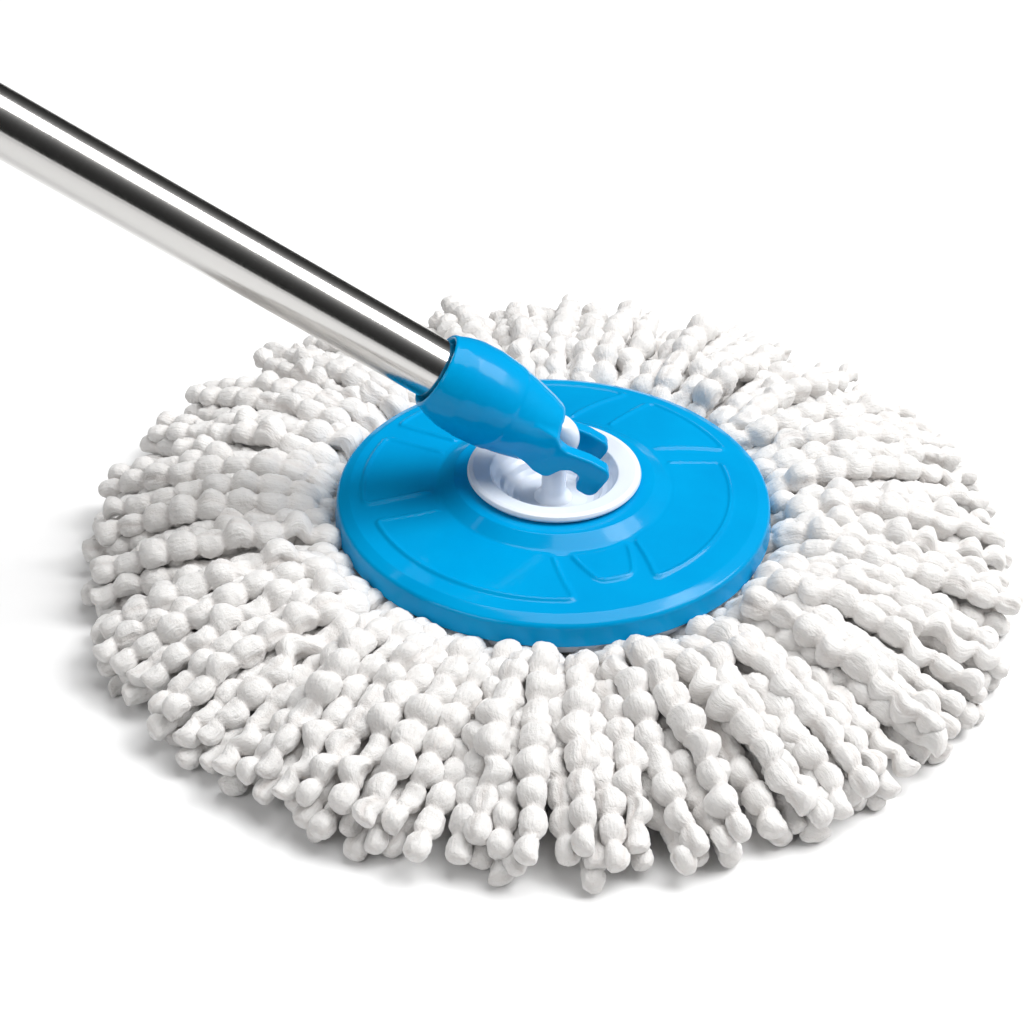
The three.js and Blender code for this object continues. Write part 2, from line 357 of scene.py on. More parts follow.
def chenille(name):
    # fibres run along each strand: the strand's own coordinates come from the fibre attribute
    finish = Finish(name)
    strand = finish.node("Attribute", "Vector", {"attribute_name": "fibre"})
    # painted shade: a second attribute darkens the colour in the waists between beads and in the creases
    paintedShadeAmount = finish.node("Attribute", "Fac", {"attribute_name": "paintedShade"})
    streak = finish.noise(finish.stretched(strand, fibreShape["streakStretch"]), 1.0, 2.0, 0.5)
    fluff = finish.noise(strand, fibreShape["fluffScale"], 2.0, 0.5)
    fuzz = finish.noise(strand, fibreShape["fuzzScale"], 2.0, 0.5)
    light = finish.mix(fluff, fibreShape["light"], fibreShape["shade"])
    shade = finish.mix(paintedShadeAmount.clamped() * fibreShape["creviceShadeShare"], light, fibreShape["creviceShadeColor"])
    height = streak * 0.8 + fluff * 0.7 + fuzz * 0.35
    return finish.surface(
        Base_Color=shade,
        Roughness=0.9 + fuzz * 0.08,
        Normal=finish.bump(height, fibreShape["bump"], fibreShape["bumpDepth"]),
        Subsurface_Weight=0.2,
        Subsurface_Radius=(0.004, 0.0038, 0.0036),
        Subsurface_Scale=1.0,
        Sheen_Weight=0.45,
        Sheen_Roughness=0.5,
        Specular_IOR_Level=0.08)


bluePlastic = mouldedPlastic(
    "bluePlastic", rgb(0.0, 0.32, 0.64), rgb(0.0, 0.26, 0.56),
    Specular_IOR_Level=0.12, Coat_Weight=0.05, Coat_Roughness=0.03)
whitePlastic = mouldedPlastic(
    "whitePlastic", rgb(0.80, 0.84, 0.90), rgb(0.74, 0.79, 0.88), gloss=0.16,
    Subsurface_Weight=0.2, Subsurface_Radius=(0.003, 0.0035, 0.004), Subsurface_Scale=1.0)
gripPlastic = mouldedPlastic(
    "gripPlastic", rgb(0.004, 0.26, 0.70), rgb(0.003, 0.21, 0.62), gloss=0.42, grain=0.6)
tubeSteel = polishedSteel("tubeSteel", rgb(0.66, 0.65, 0.63), rgb(0.58, 0.57, 0.56), 0.14, 1400.0)
driveSteel = polishedSteel("driveSteel", rgb(0.45, 0.45, 0.45), rgb(0.32, 0.31, 0.30), 0.32, 500.0)
yarnCotton = chenille("yarnCotton")
print("stage: materials")


# camera, light and floor

view = {
    "aim": (-0.0150, -0.0150, 0.0160), "elevation": 35.25, "distance": 0.780,
    "lens": 76.3, "sensor": 36.0, "roll": 1.15,
}


def makeCamera():
    data = bpy.data.cameras.new("camera")
    data.lens = view["lens"]
    data.sensor_width = view["sensor"]
    data.clip_end = 50
    camera = bpy.data.objects.new("camera", data)
    bpy.context.scene.collection.objects.link(camera)
    rise = math.radians(view["elevation"])
    away = Vector((0, -math.cos(rise), math.sin(rise)))
    camera.location = Vector(view["aim"]) + away * view["distance"]
    roll = Matrix.Rotation(math.radians(view["roll"]), 4, "Z")
    turn = away.to_track_quat("Z", "Y").to_matrix().to_4x4() @ roll
    camera.rotation_euler = turn.to_euler()
    bpy.context.scene.camera = camera


studio = {
    "stripAim": (0.65, 0.05, 0.757), "stripReach": 2.1, "stripSize": (1.25, 1.15), "stripPower": 35,
    "topPlace": (0.3, 0.3, 1.6), "topSize": (1.3, 1.1), "topPower": 19,
    "fillPlace": (-1.2, -1.2, 1.3), "fillSize": (1.2, 0.9), "fillPower": 11,
    "wallTone": 0.022, "glow": 0.62, "glowStart": 17.0, "glowFall": 13.0, "wallRadius": 7.0, "wallRows": 33,
    "wallSegments": 64, "floorRadius": 6.8, "floorSegments": 96, "floorDrop": 0.0004,
    "floorGlowFrom": 0.9, "floorGlowTo": 3.2, "floorGlow": 0.86,
    "cardAcross": (-1.6, 1.2), "cardDeep": (0.3, 3.5), "cardHeight": -0.005,
}


def grey(tone):
    return rgb(tone, tone, tone)


def softbox(name, place, size, power):
    # a rectangular light that looks at the middle of the set
    data = bpy.data.lights.new(name, "AREA")
    data.shape = "RECTANGLE"
    data.size, data.size_y = size
    data.energy = power
    light = bpy.data.objects.new(name, data)
    light.location = place
    light.rotation_euler = Vector(place).to_track_quat("Z", "Y").to_euler()
    light.visible_camera = False
    bpy.context.scene.collection.objects.link(light)


def makeWalls():
    # the dim walls: a ball round the set, glowing round the strip box: glow = exp(-(angle - start) / fall)
    finish = Finish("studioWalls")
    towards = Vector(studio["stripAim"]).normalized()
    place = finish.node("VectorMath", 0, {"operation": "NORMALIZE"}, i0=finish.place())
    cosine = finish.node("VectorMath", 1, {"operation": "DOT_PRODUCT"}, i0=place, i1=towards)
    angle = cosine.math("ARCCOSINE") * (180 / math.pi)
    fall = ((angle - studio["glowStart"]).math("MAXIMUM", 0.0) * (-1 / studio["glowFall"])).math("EXPONENT")
    finish.surface(
        Base_Color=grey(0.0), Specular_IOR_Level=0.0, Roughness=1.0, Emission_Strength=1.0,
        Emission_Color=finish.mix(fall, grey(studio["wallTone"]), grey(studio["glow"])))
    rise = np.linspace(-math.pi / 2, math.pi / 2, studio["wallRows"])[1:-1]
    outline = np.stack([np.cos(rise), np.sin(rise)], -1) * studio["wallRadius"]
    ball = turnedGrid(outline, studio["wallSegments"])
    walls = newObject("walls", closedSurface("walls", ball), finish.material)
    finish.material.cycles.emission_sampling = "NONE"
    walls.visible_camera = False


def makeCard():
    # a dark card lying behind the set, seen only in reflections: it draws the steel tube's upper edge
    finish = Finish("darkCard")
    finish.surface(Base_Color=grey(0.02), Roughness=1.0, Specular_IOR_Level=0.0)
    left, right = studio["cardAcross"]
    front, back = studio["cardDeep"]
    corners = np.array([(left, front, 0), (right, front, 0), (right, back, 0), (left, back, 0)], float)
    corners[:, 2] = studio["cardHeight"]
    card = newObject("darkCard", fillMesh("darkCard", corners, np.array([[0, 1, 2, 3]])), finish.material)
    card.visible_camera = False
    card.visible_diffuse = False
    card.visible_shadow = False


def makeFloor():
    # a round pale floor; it glows faintly far from the mop, so that it stays pale out to its edge
    finish = Finish("paleFloor")
    place = finish.place()
    tone = finish.noise(place, 3.0, 2.0)
    distance = finish.node("VectorMath", 1, {"operation": "LENGTH"}, i0=place)
    glow = finish.node(
        "MapRange", 0, {"interpolation_type": "SMOOTHSTEP"}, Value=distance,
        From_Min=studio["floorGlowFrom"], From_Max=studio["floorGlowTo"])
    finish.surface(
        Base_Color=finish.mix(tone, grey(0.95), grey(0.94)),
        Emission_Color=finish.mix(glow, grey(0.0), grey(studio["floorGlow"])), Emission_Strength=1.0,
        Roughness=0.85, Specular_IOR_Level=0.1)
    segments = studio["floorSegments"]
    angle = np.linspace(0, fullTurn, segments, endpoint=False)
    rim = np.stack([np.cos(angle), np.sin(angle), 0 * angle], -1) * studio["floorRadius"]
    points = np.concatenate([rim, np.zeros((1, 3))]) + [0, 0, floorHeight - studio["floorDrop"]]
    column = np.arange(segments)
    blank = np.full(segments, -1)
    faces = np.stack([column, (column + 1) % segments, np.full(segments, segments), blank], -1)
    finish.material.cycles.emission_sampling = "NONE"
    newObject("floor", fillMesh("floor", points, faces), finish.material)


def makeStudio():
    world = bpy.data.worlds.new("studio")
    bpy.context.scene.world = world
    world.use_nodes = True
    background = world.node_tree.nodes["Background"]
    background.inputs["Color"].default_value = grey(0.95)
    stripPlace = Vector(studio["stripAim"]) * studio["stripReach"]
    softbox("strip", stripPlace, studio["stripSize"], studio["stripPower"])
    softbox("top", studio["topPlace"], studio["topSize"], studio["topPower"])
    softbox("fill", studio["fillPlace"], studio["fillSize"], studio["fillPower"])
    makeWalls()
    makeCard()
    bpy.context.scene.view_settings.view_transform = "Standard"
    bpy.context.scene.view_settings.look = "None"
    makeFloor()


makeCamera()
makeStudio()
print("stage: camera and studio")


# the plate

plateShape = {
    "panels": [  # raised borders: start at cone and rim, end at cone and rim in degrees, and outer radius
        (-50, -57, 19.5, 16, 64.5), (33, 22.5, 62, 57.5, 69.5), (82, 66, 144, 146, 70.5),
        (156, 154, 189, 191.5, 69.5), (204.5, 200.5, 269, 276, 67.5), (277, 285.5, 305.5, 297.3, 59.4),
    ],
    "panelInner": 43.5, "panelCorner": 2.6, "ridge": 0.85, "ridgeWidth": 0.7, "ridgeFade": 2.5,
    "fieldRaise": 0.3, "fieldSlope": 1.6, "segments": 480, "longest": 0.55, "topAbove": 16.2,
    "underside": [(77, 16.3), (43, 20.2)], "underThinning": 5,  # within this radius and below this height
    "outline": [  # radius, height, fillet
        (28.2, 22.3, 0.5), (36.6, 22.1, 1.0), (42.4, 18.9, 1.2), (44.6, 18.5, 1.0), (66.0, 17.0, 2.0),
        (74.6, 16.4, 2.0), (79.0, 14.4, 2.2), (80.0, 6.0, 0.7), (77.8, 6.0, 0.6), (77.4, 12.8, 1.5),
        (73.6, 13.9, 1.0), (43.8, 15.9, 1.0), (38.8, 18.9, 1.0), (36.2, 19.7, 1.0), (28.2, 19.9, 0.4),
    ],
}


def sectorDistance(radius, angle, startIn, startOut, endIn, endOut, outer):
    # signed distance to a ring sector with slanted sides and rounded corners: negative inside
    inner, corner = plateShape["panelInner"], plateShape["panelCorner"]
    share = np.clip((radius - inner) / (outer - inner), -0.1, 1.3)
    start = np.radians(startIn + (startOut - startIn) * share)
    end = np.radians(endIn + (endOut - endIn) * share)
    turn = np.abs((angle - (start + end) / 2 + math.pi) % fullTurn - math.pi)
    outside = (turn - (end - start) / 2) * radius + corner
    across = np.abs(radius - (inner + outer) / 2) - (outer - inner) / 2 + corner
    beyond = np.hypot(np.maximum(outside, 0), np.maximum(across, 0))
    return beyond + np.minimum(np.maximum(outside, across), 0) - corner


def makePlate():
    # the turned shell, its top raised by ridge * exp(-(distance to a border / width)^2) and a little inside
    outline = roundedOutline(plateShape["outline"][::-1], True, longest=plateShape["longest"])
    reach, height = outline.T
    under = np.any([(reach < within) & (height < below) for within, below in plateShape["underside"]], axis=0)
    keep = np.ones(len(outline), bool)
    keep[under] = np.arange(under.sum()) % plateShape["underThinning"] == 0
    grid = turnedGrid(outline[keep], plateShape["segments"])
    radius = np.hypot(grid[..., 0], grid[..., 1])
    angle = np.arctan2(grid[..., 1], grid[..., 0])
    nearest = np.min([sectorDistance(radius, angle, *panel) for panel in plateShape["panels"]], axis=0)
    outer = np.clip((radius - plateShape["panelInner"] - 0.5) / plateShape["ridgeFade"], 0, 1)
    ridge = np.exp(-(nearest / plateShape["ridgeWidth"]) ** 2) * outer
    field = 1 / (1 + np.exp(nearest / (plateShape["fieldSlope"] / 4)))
    top = grid[..., 2] > plateShape["topAbove"]
    grid[..., 2] += (plateShape["ridge"] * ridge + plateShape["fieldRaise"] * field) * top
    plate = newObject("plateShell", closedSurface("plateShell", grid * mm, loop=True), bluePlastic)
    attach(plate, "head")
    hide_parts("plate")


ringShape = {
    "outline": [
        (54, 3.4, 0.5), (54, 2, 0.5), (56, 0.5, 0.6), (76, 0.5, 0.8), (77.1, 2, 0.6), (77.1, 8.5, 0.4),
        (75.8, 8.5, 0.4), (75, 3.4, 0.8),
    ],
    "segments": 160,
}


def makeRefillRing():
    ring = turnedPiece("refillRing", ringShape["outline"], whitePlastic, ringShape["segments"], handle=False)
    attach(ring, "head")
    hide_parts("refill_ring")


# the hub

hubShape = {
    "dish": [
        (0, 10, 0), (23, 10, 1.5), (27.6, 14, 1), (27.6, 22.65, 0.4), (30.7, 22.65, 0.8), (31.7, 24.0, 0.7),
        (31.2, 25.4, 0.6), (29.6, 25.8, 1.0), (26.2, 25.0, 2.0), (23.3, 24.4, 0.8), (22.5, 22.7, 0.5),
        (21.4, 20.4, 0.6), (19.6, 18.4, 0.5), (17.9, 17.5, 0.6), (16.6, 15.4, 0.5), (14.8, 13.7, 0.5),
        (12.4, 13.0, 0.8), (0, 13, 0),
    ],
    "dishSegments": 192,
    "retainer": [
        (0, 0, 0), (20, 0, 0.8), (24, 2, 1.5), (33, 17, 0.8), (33, 19.3, 0.5), (30.8, 19.3, 0.5),
        (22.6, 4.6, 1.5), (19, 3, 1), (8, 3, 0.8), (8, 9.65, 0.5), (0, 9.65, 0),
    ],
    "retainerSegments": 128,
}


def makeHub():
    dish = turnedPiece(
        "hubDish", hubShape["dish"], whitePlastic, hubShape["dishSegments"], closed=False, handle=False)
    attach(dish, "swivel")
    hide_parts("hub")
    retainer = turnedPiece(
        "hubRetainer", hubShape["retainer"], whitePlastic, hubShape["retainerSegments"],
        closed=False, handle=False)
    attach(retainer, "swivel")
    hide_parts("hub_retainer")


postShape = {
    "base": 12.6, "stemHalf": 4.5, "footHalf": 7.2, "footHeight": 2.2, "footSpread": 1.6, "knuckle": 8.8,
    "halfWidth": 5.0, "shoulder": 2.2, "topNarrowing": 0.75, "square": 2.3, "segments": 72,
    "stemRows": 40, "topRows": 30,
}


def makePost():
    # rows climb the post, each a rounded box: |x/a|^n + |y/b|^n = 1; the top rows follow the knuckle's circle
    pin = tiltPin[2] / mm
    base, knuckle = postShape["base"], postShape["knuckle"]
    straight = np.linspace(base, pin, postShape["stemRows"])
    over = pin + knuckle * np.sin(np.linspace(0, math.pi / 2, postShape["topRows"])[1:-1])
    height = np.concatenate([straight, over])
    foot = np.exp(-((height - base) / postShape["footHeight"]) ** 2)
    circle = np.sqrt(np.maximum(knuckle ** 2 - (height - pin) ** 2, 0))
    stem = postShape["stemHalf"] + (postShape["footHalf"] - postShape["stemHalf"]) * foot
    half = np.where(height > pin, circle, np.maximum(stem, circle))
    shoulder = np.clip((pin + knuckle - height) / postShape["shoulder"], 0, 1)
    narrowing = 1 - (1 - shoulder) ** 2 * postShape["topNarrowing"]
    width = postShape["halfWidth"] * narrowing + postShape["footSpread"] * foot
    angle = np.linspace(0, fullTurn, postShape["segments"], endpoint=False)
    power = 2 / postShape["square"]
    x = half[:, None] * np.sign(np.cos(angle)) * np.abs(np.cos(angle)) ** power
    y = width[:, None] * np.sign(np.sin(angle)) * np.abs(np.sin(angle)) ** power
    grid = np.stack([x, y, np.broadcast_to(height[:, None], x.shape)], -1)
    post = newObject("hubPost", closedSurface("hubPost", grid * mm), whitePlastic)
    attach(post, "swivel")


# the yoke

yokeShape = {
    "profile": [  # distance up the handle, outer radius
        (0, 10.4), (3.4, 12.0), (8, 13.4), (16, 15.3), (24, 16.7), (33, 17.5), (41, 17.1), (46, 15.8),
        (49.4, 14.4), (52, 13.8),
    ],
    "end": 2.4, "mouth": 51.0, "mouthFrom": 44, "tubeRadius": 11.35, "mouthRadius": 12.6, "boreBottom": 15.6,
    "arm": [  # the arm's outline over and up the handle, clockwise; the third value rounds the corner
        (-7.0, 12, 0), (-10, 3, 4), (-10, -2.6, 3.5), (-4.6, -5.2, 2.5), (-2.6, -8, 3), (-2.6, -12.6, 2.6),
        (-8.2, -13.9, 2.2), (-8.2, -21.4, 4.0), (4.9, -21.8, 3.6), (5.0, -12, 4), (3.4, -3, 3), (4.0, 0, 2.5),
        (6.6, 4, 2), (6.4, 12, 0),
    ],
    "armInner": 5.9, "armOuter": 11.8, "throat": 9.5, "armEdge": 1.0, "armMapStep": 0.25,
    "seamAt": 22.0, "seamStep": 0.22, "seamWidth": 0.5,
    "mouthEdge": 1.0, "endEdge": 2.4, "armJoin": 2.2, "slotEdge": 0.6, "throatEdge": 1.0, "boreEdge": 0.9,
    "reach": 19.0, "from": -25.0, "to": 54.0, "netStep": 0.5,
}


def softMax(a, b, blend):
    # the larger of two distances with their meeting rounded over the blend length
    spread = np.maximum(blend - np.abs(a - b), 0) / blend
    return np.maximum(a, b) + spread * spread * blend * 0.25


def softMin(a, b, blend):
    return -softMax(-a, -b, blend)


def polygonDistance(x, y, polygon):
    # signed distance to a closed polygon, negative inside: nearest edge, signed by the crossing count
    ends = np.roll(polygon, -1, axis=0)
    edge = ends - polygon
    toX, toY = x[:, None] - polygon[:, 0], y[:, None] - polygon[:, 1]
    share = np.clip((toX * edge[:, 0] + toY * edge[:, 1]) / (edge ** 2).sum(axis=1), 0, 1)
    away = np.hypot(toX - share * edge[:, 0], toY - share * edge[:, 1]).min(axis=1)
    crosses = (polygon[:, 1] > y[:, None]) != (ends[:, 1] > y[:, None])
    crossing = polygon[:, 0] + toY * edge[:, 0] / np.where(edge[:, 1] == 0, 1e-9, edge[:, 1])
    inside = (crosses & (x[:, None] < crossing)).sum(axis=1) % 2 == 1
    return np.where(inside, -away, away)


armStep = yokeShape["armMapStep"]
armOver = np.arange(-16, 16, armStep)
armUp = np.arange(-28, 16, armStep)
armPlaces = [axis.ravel() for axis in np.meshgrid(armOver, armUp, indexing="ij")]
armOutline = roundedOutline(yokeShape["arm"], True, longest=3.0)
armMap = polygonDistance(*armPlaces, armOutline).reshape(len(armOver), len(armUp))


def armDistance(over, up):
    # the arm outline's distance, read between the points of a fine map
    u = np.clip((over - armOver[0]) / armStep, 0, len(armOver) - 1.001)
    v = np.clip((up - armUp[0]) / armStep, 0, len(armUp) - 1.001)
    i, j = u.astype(int), v.astype(int)
    u, v = u - i, v - j
    low = armMap[i, j] * (1 - u) + armMap[i + 1, j] * u
    high = armMap[i, j + 1] * (1 - u) + armMap[i + 1, j + 1] * u
    return low * (1 - v) + high * v


# the socket's wall radius against the distance up the handle, with its corners blurred
stations = np.array(yokeShape["profile"], float)
wallHeights = np.linspace(stations[0, 0], stations[-1, 0], 400)
wallKernel = np.exp(-(np.linspace(-2, 2, 41)) ** 2)
wallPadded = np.pad(np.interp(wallHeights, *stations.T), 20, mode="edge")
wallRadii = np.convolve(wallPadded, wallKernel / wallKernel.sum(), mode="valid")


def yokeField(points):
    # signed distance of the yoke in its own axes: over the handle, along the pin, up the handle
    over, side, up = points.T
    shape = yokeShape
    radius = np.hypot(over, side)
    wall = np.interp(up, wallHeights, wallRadii)
    wall = wall - shape["seamStep"] * 0.5 * (1 - np.tanh((up - shape["seamAt"]) / shape["seamWidth"]))
    socket = softMax(radius - wall, up - shape["mouth"], shape["mouthEdge"])
    socket = softMax(socket, shape["end"] - up, shape["endEdge"])
    middle = (shape["armInner"] + shape["armOuter"]) / 2
    thick = (shape["armOuter"] - shape["armInner"]) / 2
    arms = softMax(armDistance(over, up), np.abs(np.abs(side) - middle) - thick, shape["armEdge"])
    body = softMin(socket, arms, shape["armJoin"])
    slot = np.minimum(np.hypot(over, up) - shape["throat"], up - shape["end"])
    slot = softMax(slot, np.abs(side) - shape["armInner"], shape["slotEdge"])
    body = softMax(body, -slot, shape["throatEdge"])
    widening = shape["mouthRadius"] - shape["tubeRadius"]
    flare = np.interp(up, [shape["mouthFrom"], shape["mouth"]], [0.0, widening])
    bore = softMax(radius - shape["tubeRadius"] - flare, shape["boreBottom"] - up, 0.5)
    return softMax(body, -bore, shape["boreEdge"])


def netSurface(field, low, high, step):
    # one point in every grid cell the surface passes through, one quad round every edge it crosses
    axes = [np.arange(a, b + step, step) for a, b in zip(low, high)]
    grid = np.stack(np.meshgrid(*axes, indexing="ij"), -1)
    value = field(grid.reshape(-1, 3)).reshape(grid.shape[:3])
    cells = np.array(value.shape) - 1
    total, count = np.zeros((*cells, 3)), np.zeros(cells)
    for axis in range(3):
        for corner in range(4):
            start = np.zeros(3, int)
            start[[i for i in range(3) if i != axis]] = corner & 1, corner >> 1
            beside = start + (np.arange(3) == axis)
            near = value[tuple(map(slice, start, start + cells))]
            far = value[tuple(map(slice, beside, beside + cells))]
            cross = (near < 0) != (far < 0)
            place = np.broadcast_to(start.astype(float), total.shape).copy()
            place[..., axis] = near / np.where(cross, near - far, 1)
            total += np.where(cross[..., None], place, 0)
            count += cross
    used = count > 0
    index = np.full(cells, -1)
    index[used] = np.arange(used.sum())
    points = np.array(low) + (np.argwhere(used) + total[used] / count[used][:, None]) * step
    quads = []
    for axis in range(3):
        other, third = (axis + 1) % 3, (axis + 2) % 3
        inner = np.moveaxis(value, (axis, other, third), (0, 1, 2))[:, 1:-1, 1:-1]
        lookup = np.moveaxis(index, (axis, other, third), (0, 1, 2))
        cross = (inner[:-1] < 0) != (inner[1:] < 0)
        i, j, k = np.nonzero(cross)
        ring = [lookup[i, j, k], lookup[i, j + 1, k], lookup[i, j + 1, k + 1], lookup[i, j, k + 1]]
        ring = np.stack(ring, -1)
        leaving = inner[:-1][cross] < 0
        quads.append(np.where(leaving[:, None], ring, ring[:, ::-1]))
    return points, np.concatenate(quads)


def fieldSlope(field, points, step=0.02):
    # the field's gradient, by differences
    offsets = step * np.eye(3)
    slope = np.stack([field(points + offset) - field(points - offset) for offset in offsets], -1)
    return slope / (2 * step)


def pulledToField(points, edges, field, rounds=4):
    # Newton steps move the points onto the zero surface, with some smoothing between rounds
    count = np.zeros(len(points))
    np.add.at(count, edges.ravel(), 1)
    for turn in range(rounds):
        if turn:
            total = np.zeros_like(points)
            np.add.at(total, edges[:, 0], points[edges[:, 1]])
            np.add.at(total, edges[:, 1], points[edges[:, 0]])
            points = points + 0.5 * (total / count[:, None] - points)
        for _ in range(3):
            slope = fieldSlope(field, points)
            size = np.maximum((slope ** 2).sum(axis=1), 0.2)
            move = (field(points) / size)[:, None] * slope
            length = np.linalg.norm(move, axis=1, keepdims=True)
            points = points - move * np.minimum(1, 0.8 / np.maximum(length, 1e-9))
    return points


def makeYoke():
    reach = yokeShape["reach"]
    low, high = (-reach, -reach, yokeShape["from"]), (reach, reach, yokeShape["to"])
    points, faces = netSurface(yokeField, low, high, yokeShape["netStep"])
    edges = np.concatenate([faces[:, [0, 1]], faces[:, [1, 2]], faces[:, [2, 3]], faces[:, [3, 0]]])
    edges = np.unique(np.sort(edges, axis=1), axis=0)
    points = pulledToField(points, edges, yokeField)
    yoke = newObject("yokeSocket", fillMesh("yokeSocket", onHandle(points), faces), bluePlastic)
    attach(yoke, "lower_handle")
    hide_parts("yoke")


# the handle

handleShape = {
    "lowerBore": 10.1, "lowerRadius": 11.0, "upperBore": 11.7, "upperRadius": 12.5,
    "tubeEdge": 0.25, "tubeSegments": 160, "tubeLongest": 20.0,
}


def handlePiece(name, corners, material, body, slot, node, **extra):
    piece = turnedPiece(name, corners, material, **extra)
    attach(piece, body)
    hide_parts(node)


def makeTube(name, node, bore, radius, body):
    low, high = spanOnHandle(node)
    edge = handleShape["tubeEdge"]
    corners = [(bore, low, edge), (radius, low, edge), (radius, high, edge), (bore, high, edge)]
    handlePiece(
        name, corners, tubeSteel, body, "polished_steel", node,
        segments=handleShape["tubeSegments"], longest=handleShape["tubeLongest"])


bushShape = {"bore": 11.35, "radius": 14.4, "seat": 12.85, "seatFrom": 15.65, "segments": 96}


def makeBush():
    base, end = spanOnHandle("guide_bush")
    bore, radius, seat = bushShape["bore"], bushShape["radius"], bushShape["seat"]
    step = base + bushShape["seatFrom"]
    corners = [
        (bore, base, 0.5), (radius, base, 0.5), (radius, end, 0.5), (seat, end, 0.3), (seat, step, 0.3),
        (bore, step, 0.3),
    ]
    handlePiece(
        "guideBush", corners, whitePlastic, "upper_handle", "white_plastic", "guide_bush",
        segments=bushShape["segments"])


collarShape = {
    "ribs": 20, "ribHeight": 0.05, "ribsFrom": 6, "ribsTo": 8, "ribFade": 4,
    "bore": 11.5, "seat": 12.85, "pocket": 14.8, "segments": 240, "longest": 3.0,
}


def makeCollar():
    base, end = spanOnHandle("lock_collar")
    bore, seat, pocket = collarShape["bore"], collarShape["seat"], collarShape["pocket"]

    def ribbed(height, angle):
        # radius * (1 + rib height * (0.5 + 0.5 cos(ribs * angle))^2), fading towards both ends
        fade = collarShape["ribFade"]
        above = np.clip((height - base - collarShape["ribsFrom"]) / fade, 0, 1)
        below = np.clip((end - collarShape["ribsTo"] - height) / fade, 0, 1)
        rib = (0.5 + 0.5 * np.cos(collarShape["ribs"] * angle)) ** 2
        return 1 + collarShape["ribHeight"] * (above * below) * rib

    corners = [
        (bore, base, 0.4), (15, base, 0.9), (16.4, base + 3, 1.5), (16.6, base + 30, 8), (16.0, base + 62, 2),
        (pocket, end, 0.8), (seat, end, 0.4), (seat, base + 43, 0.3), (pocket, base + 42.6, 0.3),
        (pocket, base + 13.4, 0.3), (bore, base + 12.6, 0.3),
    ]
    handlePiece(
        "lockCollar", corners, bluePlastic, "collar", "blue_plastic", "lock_collar",
        segments=collarShape["segments"], longest=collarShape["longest"], radiusScale=ribbed)


gripShape = {
    "bore": 12.85, "swells": 4, "swellRadius": 16.8, "waistRadius": 15.8, "swellFillet": 14, "waistFillet": 6,
    "margin": 3, "segments": 128, "longest": 1.5,
}


def makeGrip():
    base, end = spanOnHandle("grip")
    bore, waist, margin = gripShape["bore"], gripShape["waistRadius"], gripShape["margin"]
    length = (end - base - 2 * margin) / gripShape["swells"]
    corners = [(bore, base, 0.3), (14.6, base, 1.0), (waist, base + margin, 1.5)]
    for index in range(gripShape["swells"]):
        low = base + margin + index * length
        corners.append((gripShape["swellRadius"], low + length / 2, gripShape["swellFillet"]))
        corners.append((waist, low + length, gripShape["waistFillet"]))
    corners += [(15.0, end, 0.8), (bore, end, 0.3)]
    handlePiece(
        "gripSleeve", corners, gripPlastic, "upper_handle", "grip_plastic", "grip",
        segments=gripShape["segments"], longest=gripShape["longest"])


def finishNode(node, material):
    # a CAD node that keeps its shape gets its finish on its own slots
    mesh = frame["nodes"][node].data
    mesh.materials.clear()
    mesh.materials.append(material)


makePlate()
makeRefillRing()
makeHub()
makePost()
print("stage: plate and hub")
makeYoke()
makeTube("lowerTube", "lower_tube", handleShape["lowerBore"], handleShape["lowerRadius"], "lower_handle")
makeTube("upperTube", "upper_tube", handleShape["upperBore"], handleShape["upperRadius"], "upper_handle")
makeBush()
makeCollar()
makeGrip()
for node in ("nut_housing", "nut_cap", "bar_plug"):
    finishNode(node, whitePlastic)
for node in ("tilt_pin", "yoke_rivet", "drive_nut", "twisted_bar"):
    finishNode(node, driveSteel)
finishNode("grip_cap", bluePlastic)
print("stage: yoke and handle")


# the yarn

yarnShape = {
    "clusters": 34, "strands": 7, "pieces": 20, "seed": 7,
    "pitch": 9.8, "bead": 5.5, "start": 66.8, "end": 163.0, "halfWidth": 13.5, "halfHeight": 8.5,
    "ringsPerBead": 11, "sides": 24, "waist": 0.33, "beadReach": 0.52, "beadPower": 2.5,
    "aimSpread": 0.16, "stride": (0.97, 1.04), "startSpread": 2.5, "twist": 0.07, "laneTurn": 2.4,
    "sway": 0.7, "drift": 0.6, "rise": 0.5, "beadSpread": (0.88, 1.12), "taper": [0.75, 0.85, 1, 1, 0.74],
    "droopAt": [66, 76, 82, 86, 93, 104, 124, 148, 164], "droop": [-5, -3.5, 1.5, 5.8, 7.0, 6.0, 3.0, -4, -9],
    "fanAt": [66, 90, 120, 165], "fan": [0.35, 0.6, 0.85, 1.0],
    "rounds": 70, "touch": 0.87, "push": 0.28, "mostPush": 1.2,
    "homing": 0.03, "straighten": 0.15, "pull": 0.3,
    "creaseWidth": 0.3, "creaseGap": 2.3, "creaseDepth": (0.34, 0.26), "grain": 0.026, "wander": 1.3,
}


